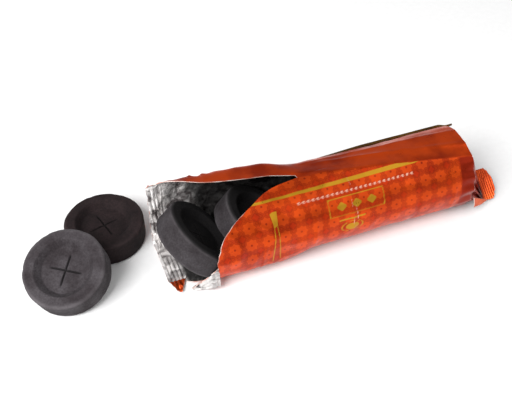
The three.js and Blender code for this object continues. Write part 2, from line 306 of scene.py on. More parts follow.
def add(tree: Tree, kind: str, inputs: dict[Any, Any] | None = None, out: Any = 0,
        stops: list[tuple[float, int]] | None = None, step: bool = False,
        **settings: Any) -> Socket:
    """Adds one node.

    Args:
        tree: where to add it.
        kind: the node's type name after "ShaderNode".
        inputs: for an input's name or number, a value or the output that feeds it.
        out: name or number of the output to give back.
        stops: positions and sRGB hex colours of a colour ramp.
        step: the ramp changes in steps instead of blending.
        settings: the node's own properties.

    Returns:
        The chosen output.
    """
    node = tree.nodes.new("ShaderNode" + kind)
    for key, value in settings.items():
        setattr(node, key, value)
    feed(node, inputs or {})
    if stops:
        band = node.color_ramp
        band.interpolation = "CONSTANT" if step else "LINEAR"
        while len(band.elements) < len(stops):
            band.elements.new(0.5)
        for element, (position, code) in zip(band.elements, stops):
            element.position = position
            element.color = linear(code)
    return node.outputs[out]


def scale(mm: float) -> float:
    """Texture scale that makes a pattern's cells so many millimetres across."""
    return 1 / (mm * MM)


@dataclass(frozen=True)
class Finish:
    """A material of one name; each kind says what feeds its Principled shader."""

    name: str

    def surface(self, tree: Tree) -> dict[str, Any]:
        """Adds the nodes and gives the shader's inputs."""
        raise NotImplementedError

    def make(self) -> Material:
        """Builds the material and gives it back."""
        material = bpy.data.materials.new(self.name)
        material.use_nodes = True
        feed(material.node_tree.nodes["Principled BSDF"], self.surface(material.node_tree))
        return material


@dataclass(frozen=True)
class PressedCharcoal(Finish):
    """Charcoal powder pressed in a die: dead matt, with a fine grain of coal bits and pores.

    It gives the eye a soft dark body with no gloss, paler rims where dust sits, small dark specks
    and painted shade: near-black mixed in over tablets that lie inside and in every tablet's scores.
    """

    dark: int
    pale: int
    dust: int
    # painted shade: the near-black that the "shade" attribute mixes in
    black: int = 0x080707
    grain_mm: float = 0.9  # real grit is about 0.2 mm, drawn coarser so that it shows
    blotch_mm: float = 9.0
    pore_mm: float = 1.7
    roughness: float = 0.86

    def surface(self, tree: Tree) -> dict[str, Any]:
        """Grain toned by blotches, then dust on the rims and painted shade; grain and pores in relief."""
        place = add(tree, "TexCoord", out="Object")
        grain = add(tree, "TexNoise", {"Vector": place, "Scale": scale(self.grain_mm), "Detail": 4.0,
                                       "Roughness": 0.65})
        blotch = add(tree, "TexNoise", {"Vector": place, "Scale": scale(self.blotch_mm), "Detail": 3.0})
        body = add(tree, "ValToRGB", {0: grain}, stops=[(0.3, self.dark), (0.7, self.pale)])
        tone = add(tree, "ValToRGB", {0: blotch}, stops=[(0.35, 0xB8B0B2), (0.65, 0xFFFFFF)])
        colour = add(tree, "Mix", {0: 1.0, 6: body, 7: tone}, 2, data_type="RGBA", blend_type="MULTIPLY")
        worn = add(tree, "Attribute", out="Fac", attribute_name="rim_wear")
        patchy = add(tree, "Math", {0: worn, 1: blotch}, operation="MULTIPLY")
        # Painted shade: the "shade" attribute mixes the colour towards black.
        painted_shade = add(tree, "Attribute", out="Fac", attribute_name="shade")
        for share, over in ((patchy, self.dust), (painted_shade, self.black)):
            colour = add(tree, "Mix", {0: share, 6: colour, 7: linear(over)}, 2, data_type="RGBA")
        pores = add(tree, "TexVoronoi", {"Vector": place, "Scale": scale(self.pore_mm)})
        relief = add(tree, "Math", {0: grain, 1: pores}, operation="ADD")
        bump = add(tree, "Bump", {"Strength": 0.35, "Distance": 0.35 * MM, "Height": relief})
        return {"Base Color": colour, "Normal": bump, "Roughness": self.roughness,
                "Specular IOR Level": 0.25}


@dataclass(frozen=True)
class BareFoil(Finish):
    """Aluminium side of the laminate, rolled bright and then crumpled.

    It gives the eye painted reflections, white streaks beside near-black ones in its colour, broken up
    by small creases: calmer where the foil is pressed; and painted shade, near-black deeper inside the
    sleeve and on its floor past the mouth.
    """

    colour: int = 0xF6F2F0
    # painted reflection: the dark grey of the streaks, laid by noise
    crease: int = 0x6A6363
    # painted shade: the near-black that the "dust" attribute lays deeper inside the sleeve
    dust: int = 0x0C0A0A
    roughness: float = 0.36
    crease_mm: float = 3.4
    crease_depth_mm: float = 0.7

    def surface(self, tree: Tree) -> dict[str, Any]:
        """Two sizes of dents, shifted about so that they don't line up, under painted reflection and shade.
        """
        place = add(tree, "TexCoord", out="Object")
        bent = add(tree, "TexNoise", {"Vector": place, "Scale": scale(8), "Detail": 2.0}, "Color")
        shift = add(tree, "VectorMath", {0: bent, 1: (0.004, 0.004, 0.004)}, operation="MULTIPLY_ADD")
        moved = add(tree, "VectorMath", {0: place, 1: shift}, operation="ADD")
        folds = add(tree, "TexVoronoi", {"Vector": moved, "Scale": scale(self.crease_mm)})
        fine = add(tree, "TexVoronoi", {"Vector": moved, "Scale": scale(self.crease_mm / 2.6)})
        relief = add(tree, "Math", {0: fine, 1: 0.35, 2: folds}, operation="MULTIPLY_ADD")
        pressed = add(tree, "Attribute", out="Fac", attribute_name="pressed")
        strength = add(tree, "MapRange", {0: pressed, 3: 0.8, 4: 0.08})
        bump = add(tree, "Bump", {"Strength": strength, "Distance": self.crease_depth_mm * MM,
                                  "Height": relief})
        # Painted reflection: white and dark grey streaks in the colour stand in for what crumpled foil
        # reflects.
        streaks = add(tree, "TexNoise", {"Vector": moved, "Scale": scale(6), "Detail": 2.0,
                                         "Distortion": 0.8})
        tint = add(tree, "ValToRGB", {0: streaks}, stops=[(0.36, self.crease), (0.6, self.colour)])
        # Painted shade: the "dust" attribute mixes in near-black deeper inside the sleeve and on its floor
        # past the mouth; on the torn curl it darkens the whole strip evenly.
        painted_shade_share = add(tree, "Attribute", out="Fac", attribute_name="dust")
        tint = add(tree, "Mix", {0: painted_shade_share, 6: tint, 7: linear(self.dust)}, 2, data_type="RGBA")
        return {"Base Color": tint, "Normal": bump, "Metallic": 0.5, "Roughness": self.roughness}


@dataclass(frozen=True)
class TornEdge(Finish):
    """Torn rim of the laminate, where bare plastic and foil show as a thin bright line."""

    pale: int = 0xE9D9D2
    flushed: int = 0xC98F80

    def surface(self, tree: Tree) -> dict[str, Any]:
        """Pale plastic with patches flushed by the ink."""
        place = add(tree, "TexCoord", out="Object")
        patches = add(tree, "TexNoise", {"Vector": place, "Scale": scale(4), "Detail": 3.0})
        tint = add(tree, "ValToRGB", {0: patches}, stops=[(0.42, self.pale), (0.62, self.flushed)])
        return {"Base Color": tint, "Metallic": 0.3, "Roughness": 0.4}


@dataclass(frozen=True)
class Paper(Finish):
    """White paper sweep, which gives the eye a bright matt floor with a trace of fibre."""

    shadow: int = 0xF4F4F4
    colour: int = 0xF7F7F7

    def surface(self, tree: Tree) -> dict[str, Any]:
        """Two near whites in fine noise."""
        place = add(tree, "TexCoord", out="Object")
        fibre = add(tree, "TexNoise", {"Vector": place, "Scale": 300.0, "Detail": 2.0})
        tint = add(tree, "ValToRGB", {0: fibre}, stops=[(0.3, self.shadow), (0.7, self.colour)])
        return {"Base Color": tint, "Roughness": 0.9}


@dataclass(frozen=True)
class PrintedFoil(Finish):
    """Orange-red ink under clear film on foil, printed with a star lattice and gold marks.

    It gives the eye a warm glossy skin with soft streaks of light and a darker geometric print.
    """

    plain: int = 0xC9430C
    field_colour: int = 0xB23406
    star: int = 0xD84C10
    line: int = 0x741A02
    gold: int = 0xB8861E
    # also paints the highlight lines along three cross creases
    white: int = 0xD8A48E
    shadow: int = 0x962806
    tucked: int = 0x8A2006  # where the front is drawn into the closed end
    pitch_mm: float = 8.4
    roughness: float = 0.34
    lattice: bool = True

    def stars(self, tree: Tree, place: Socket, shift: float,
              stops: list[tuple[float, int]]) -> Socket:
        """Eight-pointed stars on a square lattice.

        In one cell, with x and y measured from its middle, the star's size through a point is the
        smaller of max(|x|, |y|) and (|x| + |y|) / sqrt 2, so its lines are two crossed squares.

        Args:
            tree: where the nodes go.
            place: film coordinates in cells.
            shift: how far the lattice is moved, in cells.
            stops: colours by size through the point.

        Returns:
            The colour.
        """
        moved = add(tree, "VectorMath", {0: place, 1: (shift, shift, 0)}, operation="ADD")
        cell = add(tree, "VectorMath", {0: moved}, operation="FRACTION")
        centred = add(tree, "VectorMath", {0: cell, 1: (0.5, 0.5, 0)}, operation="SUBTRACT")
        folded = add(tree, "VectorMath", {0: centred}, operation="ABSOLUTE")
        x, y = (add(tree, "SeparateXYZ", {0: folded}, axis) for axis in (0, 1))
        square = add(tree, "Math", {0: x, 1: y}, operation="MAXIMUM")
        both = add(tree, "Math", {0: x, 1: y}, operation="ADD")
        turned = add(tree, "Math", {0: both, 1: math.sqrt(0.5)}, operation="MULTIPLY")
        size = add(tree, "Math", {0: square, 1: turned}, operation="MINIMUM")
        return add(tree, "ValToRGB", {0: size}, stops=stops, step=True)

    def lay(self, tree: Tree, colour: Socket, mark: str, edge: float,
            ink: Any) -> Socket:
        """Covers a colour with ink where a mark's distance runs from -edge to edge and past it."""
        gap = add(tree, "Attribute", out="Fac", attribute_name=mark)
        within = add(tree, "MapRange", {0: gap, 1: -edge, 2: edge})
        return add(tree, "Mix", {0: within, 6: colour, 7: ink}, 2, data_type="RGBA")

    def surface(self, tree: Tree) -> dict[str, Any]:
        """Mottled ink, the print over it, smudged gloss and shallow dents."""
        place = add(tree, "TexCoord", out="Object")
        mottle = add(tree, "TexNoise", {"Vector": place, "Scale": scale(16), "Detail": 3.0})
        colour = add(tree, "ValToRGB", {0: mottle}, stops=[(0.35, self.shadow), (0.6, self.plain)])
        if self.lattice:
            colour = self.lay(tree, colour, "deep_mm", 0.3, linear(self.tucked))
            film = add(tree, "TexCoord", out="UV")
            cells = add(tree, "VectorMath", {0: film, "Scale": UV_SPAN / self.pitch_mm}, operation="SCALE")
            large = self.stars(tree, cells, 0.0, [
                (0.0, self.line), (0.05, self.star), (0.29, self.line), (0.315, self.field_colour),
                (0.39, self.line), (0.415, self.field_colour)])
            small = self.stars(tree, cells, 0.5, [(0.0, 0xFFA878), (0.15, 0xA87870), (0.19, 0xFFFFFF)])
            print_ = add(tree, "Mix", {0: 0.8, 6: large, 7: small}, 2, data_type="RGBA",
                         blend_type="MULTIPLY")
            toned = add(tree, "Mix", {0: 0.5, 6: print_, 7: colour}, 2, data_type="RGBA")
            # The white mark lays printed dashes and painted highlights along three creases.
            for mark, edge, ink in (("lattice_mm", 0.2, toned), ("gold_mm", -0.12, linear(self.gold)),
                                    ("white_print_and_painted_glint_mm", -0.12, linear(self.white))):
                colour = self.lay(tree, colour, mark, edge, ink)
        smudge = add(tree, "TexNoise", {"Vector": place, "Scale": scale(6), "Detail": 4.0})
        gloss = add(tree, "MapRange", {0: smudge, 1: 0.3, 2: 0.7, 3: self.roughness - 0.08,
                                       4: self.roughness + 0.12})
        folds = add(tree, "TexVoronoi", {"Vector": place, "Scale": scale(11)})
        bump = add(tree, "Bump", {"Strength": 0.35, "Distance": 0.5 * MM, "Height": folds})
        return {"Base Color": colour, "Roughness": gloss, "Normal": bump, "Metallic": 0.72,
                "Specular IOR Level": 0.25}


# ---- Tablets ----


@dataclass
class Tablet:
    """A pressed disc with a dish in its upper face and two crossed break scores in the dish."""

    node: str
    body: str
    shade: Shade
    turn_deg: float = 0.0  # of the scores, where the disc lies flat
    painted_shade: float = 0.0  # painted shade: how far the dished face is darkened towards black, and 0.3 of that on the rest, for a tablet lying inside
    rim_round: float = 1.1
    rim_spread: float = 1.4  # square millimetres over which wear and chips fade from the rim
    dish: float = 29.0
    dish_floor: float = 23.2
    dish_depth: float = 3.8
    score_width: float = 0.42
    score_length: float = 17.0
    score_depth: float = 1.0
    around: int = 168
    diameter: float = field(init=False)
    thickness: float = field(init=False)

    def __post_init__(self) -> None:
        """Reads the diameter and thickness from a tablet that stands upright in the row."""
        low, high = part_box("stacked_tablet_1")
        self.diameter = (high.y - low.y) / MM
        self.thickness = (high.x - low.x) / MM

    def placing(self) -> tuple[Array, Array]:
        """Finds where the CAD tablet lies.

        Its middle is its box's. Its axis is the direction in which its corner points vary least,
        pointed to the dish, whose floor lies on that side of the middle.

        Returns:
            The middle in millimetres, and the disc's own X, Y and Z directions as rows.
        """
        corners = np.array([v.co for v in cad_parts[self.node].data.vertices], float) / MM
        low, high = (np.array(c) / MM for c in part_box(self.node))
        middle = (low + high) / 2
        off = np.unique(np.round(corners, 2), axis=0) - middle
        axis = np.linalg.eigh(off.T @ off)[1][:, 0]
        height = off @ axis
        radius = np.linalg.norm(off - height[:, None] * axis, axis=1)
        floor = height[(radius < self.dish_floor / 2 + 0.5) & (np.abs(height) < self.thickness / 2 - 1)]
        axis = axis * np.sign(floor.mean())
        tilt = math.acos(float(np.clip(axis[2], -1, 1)))
        heading = math.atan2(axis[1], axis[0]) if tilt > 0.02 else math.radians(self.turn_deg)
        first = np.array([math.cos(tilt) * math.cos(heading), math.cos(tilt) * math.sin(heading),
                          -math.sin(tilt)])
        first /= np.linalg.norm(first)
        return middle, np.stack([first, np.cross(axis, first), axis])

    def profile(self) -> tuple[Array, Array]:
        """Half section from the middle of the dish round to the middle of the underside.

        Straight runs sampled evenly, then averaged over a short stretch so that corners turn soft.

        Returns:
            Radius and height of each point.
        """
        r, h = self.diameter / 2, self.thickness / 2
        runs = [(0, h - self.dish_depth), (self.dish_floor / 2, h - self.dish_depth), (self.dish / 2, h),
                (r - self.rim_round, h), (r, h - self.rim_round), (r, self.rim_round - h),
                (r - self.rim_round, -h), (0, -h)]
        runs = np.array(runs, float)
        reach = np.concatenate([[0], np.cumsum(np.linalg.norm(np.diff(runs, axis=0), axis=1))])
        fine = np.linspace(0, reach[-1], 900)
        line = np.stack([np.interp(fine, reach, runs[:, k]) for k in (0, 1)], 1)
        width = 7
        padded = np.vstack([np.repeat(line[:1], width, 0), line, np.repeat(line[-1:], width, 0)])
        kernel = np.hanning(2 * width + 1)
        kernel /= kernel.sum()
        soft = np.stack([np.convolve(padded[:, k], kernel, "valid") for k in (0, 1)], 1)
        soft[0, 0] = soft[-1, 0] = 0
        chosen = soft[np.linspace(0, len(soft) - 1, 112).round().astype(int)]
        return chosen[:, 0], chosen[:, 1]

    def build(self, material: Material, seed: int) -> Object:
        """Turns the profile, cuts the scores, roughens it and lays it on the CAD tablet.

        The profile is carried round the axis; each score lowers the dish floor by its depth times
        exp(-(offset / width)^4), and two sizes of soft noise move the skin in and out.

        Args:
            material: pressed charcoal.
            seed: picks this tablet's own chips and lumps.

        Returns:
            The object, riding on its body.
        """
        radius, height = self.profile()
        turn = np.linspace(0, 2 * math.pi, self.around, endpoint=False)
        x, y = np.outer(radius, np.cos(turn)), np.outer(radius, np.sin(turn))
        z = np.repeat(height[:, None], self.around, 1)
        in_dish = (radius < self.dish_floor / 2)[:, None] & (z > 0)
        half = self.score_length / 2
        cut = np.maximum.reduce([
            np.exp(-((a / self.score_width) ** 4)) * (1 - ease(np.abs(b), half - 1.5, half))
            for a, b in ((x, y), (y, x))
        ])
        z = z - self.score_depth * cut * in_dish
        lumps = noise(x + z, y - 0.6 * z, 6.5, seed) * 0.12 + noise(x - z, y + z, 1.5, seed + 1) * 0.05
        off_rim = (np.abs(z) - self.thickness / 2) ** 2 + (radius[:, None] - self.diameter / 2) ** 2
        corner = np.exp(-off_rim / self.rim_spread)
        chips = corner * np.clip(noise(turn[None, :] * 20, z, 2.6, seed + 2) - 0.25, 0, 1) * 0.55
        scale = 1 + (lumps - chips - 0.1) / np.maximum(np.hypot(radius, height)[:, None], 4)
        grid = np.stack([x * scale, y * scale, z + (lumps - chips) * np.sign(z) * 0.4], -1)
        middle, axes = self.placing()
        rings = grid[1:-1].reshape(-1, 3)
        points = np.vstack([rings, grid[0, :1], grid[-1, :1]]) @ axes + middle
        count = len(radius) - 2
        index = np.arange(count * self.around).reshape(count, self.around)
        nxt = np.roll(index, -1, axis=1)
        walls = np.stack([index[:-1], index[1:], nxt[1:], nxt[:-1]], -1).reshape(-1, 4)
        top, foot = count * self.around, count * self.around + 1
        cap = np.stack([index[0], nxt[0], np.full(self.around, top), np.full(self.around, top)], 1)
        sole = np.stack([nxt[-1], index[-1], np.full(self.around, foot), np.full(self.around, foot)], 1)
        name = f"pressed_{self.node}"
        piece = add_object(name, points, np.concatenate([walls, cap, sole]), [material], sharp_deg=75)
        add_attribute(piece, "rim_wear", np.concatenate([corner[1:-1].ravel(), [0, 0]]))
        # Painted shade, kept in the "shade" attribute: a tablet lying inside is darkened on its upper face
        # by painted_shade and elsewhere by 0.3 of it; on every tablet the score grooves get 0.8 and the
        # middle of the dish 0.9.
        face = self.painted_shade * ease(height, self.thickness / 2 - 1.3, self.thickness / 2 - 0.3)[1:-1]
        face = np.where(radius[1:-1] < self.dish / 2 + 0.1, self.painted_shade * (height[1:-1] > 0), face)
        face = np.maximum(np.maximum(face, 0.3 * self.painted_shade)[:, None], 0.8 * (cut * in_dish)[1:-1])
        add_attribute(piece, "shade", np.concatenate([face.ravel(), [0.9, 0]]))
        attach(piece, self.body)
        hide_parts(self.node)
        log.info("%s rides on %s", name, self.body)
        return piece


# ---- Film ----


@dataclass
class Film:
    """The one foil sheet: where its outer face lies, how it is creased and where it is torn."""

    base: float = 12.0
    mouth_length: float = 20.0
    tear_length: float = 49.0
    peak_deg: float = 89.0
    crease_end_deg: float = 52.0
    split_deg: float = 91.0  # between the tear's front lip and its top lip
    wall_deg: float = 128.0  # where the top lip meets the crimped wall at the mouth
    end_length: float = 15.0
    end_width: float = 20.0
    end_section: float = 2.4
    end_tilt_deg: float = 35.0  # the crimped strip's back end stands higher
    end_low: tuple = (-13.5, 1.4)  # Y and Z of its front end
    facet: float = 8.0  # flat width beside the crease between front and top
    fold_gap: float = 0.25  # half the gap that the CAD leaves along the mouth band's fold
    thickness: float = 0.4
    clearance: float = 0.15  # kept between a dent and the tablets
    crimp_pitch: float = 1.95
    crimp_depth: float = 0.7
    # Outlines from the base up to the top, as Y and Z in radii of the row.
    slack_front: tuple = ((-0.59, 0.06), (-0.92, 0.41), (-1.005, 0.96), (-0.865, 1.5), (-0.5, 1.866),
                          (0, 2))
    slack_back: tuple = ((0.7, 0.01), (1.04, 0.16), (1.135, 0.75), (1.155, 1.37), (0.915, 1.99),
                         (0.12, 2.06))
    end_back: tuple = ((0.72, 0), (0.985, 0.045), (1.04, 0.72), (1.06, 1.4), (0.97, 1.975), (0.34, 2.015))
    # Torn lips: share of the way to the tear's peak, and angle.
    lip_front: tuple = ((-0.32, -90), (-0.2, -70), (-0.01, -48), (0.035, -22), (0.02, 5), (0.15, 38),
                        (0.43, 63), (0.73, 83), (1, 89))
    lip_top: tuple = ((0, 128), (0.2, 114), (0.39, 103), (0.6, 97.5), (0.8, 94), (1, 91.5))
    # Cross creases: X at the front, lean per 30 mm, height, and where they start and stop.
    cross_creases: tuple = (
        (-21.0, 1.5, 0.42, 22, 66), (-17.5, 0.5, -0.25, 30, 64), (-1.0, -1.0, 0.5, 26, 62),
        (1.6, -2.2, -0.35, 30, 60), (9.0, -1.5, 0.3, 34, 60), (-47.0, 4.0, 0.35, 4, 40),
        (34.0, 2.0, -0.3, 6, 46), (55.0, -1.0, 0.35, 8, 44),
    )
    # Lengthwise creases over the top: X and angle at both ends, and height.
    long_creases: tuple = (
        (-18, 112, 72, 70, 0.75), (-30, 120, 66, 101, 0.8), (-62, 128, 20, 121, 0.7),
        (20, 88, 72, 84, -0.45),
    )

    def __post_init__(self) -> None:
        """Reads the sheet's main places from the CAD boxes."""
        base_low, base_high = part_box("sleeve_base")
        row_low, row_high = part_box("stacked_tablet_1")
        self.mouth = base_low.x / MM
        self.closed = base_high.x / MM + 0.3
        self.row = row_low.x / MM
        self.radius = (row_low.z + row_high.z) / 2 / MM
        self.tablet = (row_high.z - row_low.z) / 2 / MM
        self.torn = self.mouth + self.mouth_length
        self.peak = self.torn + self.tear_length
        self.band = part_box("mouth_seal_back")[1].x / MM + self.fold_gap
        self.per_degree = self.radius * math.pi / 180
        self.round_trip = 270 + self.base / self.per_degree
        share = np.linspace(0, 1, 600)
        starts = ((self.lip_front, self.torn), (self.lip_top, self.mouth))
        (self.tear_deg, self.tear_x), (self.top_deg, self.top_x) = (
            (curve[:, 1], mix(start, self.peak, curve[:, 0]))
            for curve, start in ((curve_through(list(lip), share), start) for lip, start in starts)
        )

    def along(self, angle: Array) -> Array:
        """Millimetres round the section from the front edge of the base, as on the tight row."""
        return (np.asarray(angle, float) + 90) * self.per_degree

    def crease_deg(self, x: Array) -> Array:
        """Angle of the crease between front and top panel, straight from the peak to the closed end."""
        share = (np.asarray(x) - self.peak) / (self.closed - self.peak)
        return mix(self.peak_deg, self.crease_end_deg, share)

    def left_edge(self, angle: Array) -> Array:
        """X of the sleeve's torn edge at each angle, with its small nicks."""
        angle = np.asarray(angle, float)
        low = np.interp(angle, self.tear_deg, self.tear_x)
        high = np.interp(angle, self.top_deg[::-1], self.top_x[::-1])
        edge = np.where(angle < self.split_deg, low, high)
        s, flat = self.along(angle), 0 * angle
        nick = noise(s, flat, 1.7, 31) * 0.35 + noise(s, flat, 6, 32) * 0.5
        near_peak = 1 - ridge(angle - self.split_deg, 6)
        return edge + nick * near_peak * (angle < self.wall_deg)

    def section(self, side: float, outline: tuple, angle: Array) -> tuple[Array, Array]:
        """Y and Z on a free outline given in radii, by the angle up from the base on that side."""
        up = up_from_base(angle)
        points = [(side * self.base / 2, 0.0)] + [(y * self.radius, z * self.radius) for y, z in outline]
        at = curve_through(points, np.clip(up / 180, 0, 1))
        return at[..., 0], np.maximum(at[..., 1], 0)

    def round_section(self, angle: Array) -> tuple[Array, Array]:
        """Y and Z round the tight row: a circle that a straight run joins to the flat base."""
        tangent = 2 * math.degrees(math.atan(self.base / 2 / self.radius))
        up = up_from_base(angle)
        at = np.radians(np.maximum(up, tangent))
        share = np.clip(up / tangent, 0, 1)
        y = mix(self.base / 2, self.radius * np.sin(at), share)
        return np.where(angle > 90, 1, -1) * y, self.radius * (1 - np.cos(at)) * share

    def smooth(self, x: Array, angle: Array) -> Array:
        """The film without wrinkles.

        Round on the row, slack towards the mouth, opened out at the mouth and, past the closed end
        of the row, gathered straight towards a flat slot. Past 270 degrees it crosses the base.

        Args:
            x: place along the sleeve.
            angle: place round the section.

        Returns:
            Points with X, Y and Z in the last axis.
        """
        x, angle = np.broadcast_arrays(np.asarray(x, float), np.asarray(angle, float))
        held = np.minimum(x, self.closed)
        high = ease(angle, 100, 150) * (1 - ease(angle, 150, 200))
        slack = mix(1 - ease(held, self.row - 26, self.row - 2),
                    1 - ease(held, self.row - 58, self.row - 6), high)
        opened = np.where(angle > 90, 1 - ease(held, self.mouth, self.mouth + 14), 0)
        bounded = np.clip(angle, -90, 270)
        ry, rz = self.round_section(bounded)
        fy, fz = self.section(-1, self.slack_front, bounded)
        by, bz = self.section(1, self.slack_back, bounded)
        ey, ez = self.section(1, self.end_back, bounded)
        sy, sz = np.where(angle > 90, by, fy), np.where(angle > 90, bz, fz)
        y = mix(mix(ry, sy, slack), ey, opened)
        z = mix(mix(rz, sz, slack), ez, opened)
        on_base = angle > 270
        y = np.where(on_base, self.base / 2 - (angle - 270) * self.per_degree, y)
        z = np.where(on_base, 0, z)
        gathered = np.clip((x - self.closed) / self.end_length, 0, 1)
        slot = self.slot(angle)
        return np.stack([x, mix(y, slot[..., 1], gathered), mix(z, slot[..., 2], gathered)], -1)

    def slot(self, angle: Array) -> Array:
        """Rim of the tilted slot that the film is gathered into; 0 is the slot's low front end."""
        tilt = math.radians(self.end_tilt_deg)
        whole = self.round_trip + 90
        turn = np.radians(90 + (np.asarray(angle, float) - 90) * 360 / whole)
        a = self.end_width / 2 * (1 - np.cos(turn))
        b = self.end_section / 2 * np.sin(turn)
        y = self.end_low[0] + a * math.cos(tilt) - b * math.sin(tilt)
        z = self.end_low[1] + a * math.sin(tilt) + b * math.cos(tilt)
        return np.stack([np.full_like(y, self.closed + self.end_length), y, z], -1)

    def wrinkle(self, x: Array, angle: Array) -> Array:
        """How far the film stands out from its smooth face, in millimetres."""
        s = self.along(angle)
        tight = ease(x, self.row - 34, self.row - 4)
        near_mouth = 1 - ease(x, self.mouth + 8, self.mouth + 45)
        out = creased(x + 0.35 * s, s, 13, 5) * mix(0.55, 0.2, tight)
        out += creased(x * 0.6 - 0.3 * s, s, 7, 6) * mix(0.3, 0.1, tight)
        out += creased(x, s * 0.8, 5.2, 7) * np.where(angle > 118, 1.0, 0.4) * near_mouth
        out += noise(x, s, 24, 8) * mix(0.6, 0.15, tight)
        crease = np.where(x > self.peak, self.along(self.crease_deg(x)), self.along(self.peak_deg))
        facet = np.clip(self.facet - np.abs(s - crease), 0, None) ** 2 / (2 * self.radius)
        out += facet * ease(x, self.peak - 2, self.peak + 14)
        for start, start_deg, stop, stop_deg, height in self.long_creases:
            line = self.along(mix(start_deg, stop_deg, (x - start) / (stop - start)))
            window = ease(x, start, start + 14) * (1 - ease(x, stop - 4, stop + 4))
            out += height * ridge(s - line, 1.8) * window
        for place, lean, height, low, high in self.cross_creases:
            window = ease(s, low, low + 8) * (1 - ease(s, high - 8, high))
            out += height * ridge(x - place - lean * (s - 30) / 30, 0.9) * window
        return out

    def lip_distance(self, x: Array, angle: Array) -> Array:
        """Distance to the nearer torn lip: the smaller of that along X and that round the section."""
        across = np.abs(x - self.left_edge(angle))
        rising = self.tear_deg > 0
        front = np.interp(x, self.tear_x[rising], self.tear_deg[rising])
        top = np.interp(x, self.top_x, self.top_deg)
        lip = np.where(angle < self.split_deg, front, top)
        round_way = np.abs(angle - lip) * self.per_degree
        return np.minimum(across, round_way)

    def lip_curl(self, near: Array, x: Array, angle: Array) -> Array:
        """How far the torn lips turn outwards: exp(-distance to the lip / 1.8)."""
        strength = np.where(angle < self.split_deg, 0.8, 0.5) * (angle < self.wall_deg)
        strength = strength * (1 - ease(x, self.peak - 16, self.peak + 2))
        return strength * ease(angle, -30, 15) * ridge(near, 1.8)

    def pleats(self, x: Array, angle: Array) -> Array:
        """Folds of the gathered end: a triangle wave round both sides, deepest half way along."""
        past = x - self.closed
        grown = ease(past, -1, 4) * (1 - ease(past, 9, 15.5))
        front = ease(angle, -70, -45) * (1 - ease(angle, 42, 62))
        back = ease(angle, 128, 148) * (1 - ease(angle, 222, 250))
        wave = np.abs(np.mod(angle / 21 + 0.25 * noise(angle, x, 30, 12), 1) * 2 - 1) * 2 - 1
        started = ease(past, -9, -4) * (1 - ease(past, 0, 4))
        return (front + back) * (grown * (1.35 * wave - 1.5) + started * 0.55 * (wave + 0.4))

    def face(self, x: Array, angle: Array) -> Array:
        """Outer face with its wrinkles, crimped ribs along the mouth and pleats at the closed end.

        Each point moves along the line from the section's middle: out by the wrinkles, and in by
        the crimp's ribs, a cosine of X across the mouth band.

        Args:
            x: place along the sleeve.
            angle: place round the section.

        Returns:
            Points with X, Y and Z in the last axis.
        """
        x, angle = np.broadcast_arrays(np.asarray(x, float), np.asarray(angle, float))
        point = self.smooth(x, angle)
        gathered = np.clip((x - self.closed) / self.end_length, 0, 1)
        end_y, end_z = self.slot(np.array([0.0, 180.0])).mean(0)[1:]
        middle = np.stack([x, mix(0 * x, end_y, gathered), mix(self.radius, end_z, gathered)], -1)
        out = point - middle
        distance = np.maximum(np.linalg.norm(out, axis=-1), 1e-6)
        out /= distance[..., None]
        up = up_from_base(angle)
        free = ease(up, 3, 26)
        near_lip = self.lip_distance(x, angle)
        low_corner = (1 - ease(angle, -35, 5)) * (1 - ease(x, self.torn + 8, self.torn + 24))
        by_lip = 0.85 * ridge(near_lip, 4) * (1 - ease(x, self.peak + 2, self.peak + 12))
        calm = np.where(angle < self.wall_deg, (1 - by_lip) * (1 - low_corner), 1)
        lift = self.wrinkle(x, angle) * (1 - ease(x, self.closed, self.closed + 9)) * calm
        lift += self.lip_curl(near_lip, x, angle)
        room = np.clip(distance - self.tablet - self.thickness - self.clearance, 0, 1.4)
        lift = np.where(x < self.closed + 1, np.maximum(lift, -room), lift)
        lift = (lift + self.pleats(x, angle)) * free
        band = 1 - ease(x, self.band - 0.4, self.band + 0.6)
        rib = 0.5 - 0.5 * np.cos(2 * math.pi * (x - self.mouth) / self.crimp_pitch)
        crimp = self.crimp_depth * rib * band * ease(angle, 122, 152)
        point = point + out * (lift - crimp)[..., None]
        point[..., 2] = np.maximum(point[..., 2], 0)
        return point

    def uv(self, x: Array, angle: Array) -> Array:
        """Film coordinates from 0 to 1: X and the way round, over the UV span."""
        x, s = np.broadcast_arrays(np.asarray(x, float), self.along(angle))
        return np.stack([x / UV_SPAN + 0.5, s / UV_SPAN], -1)

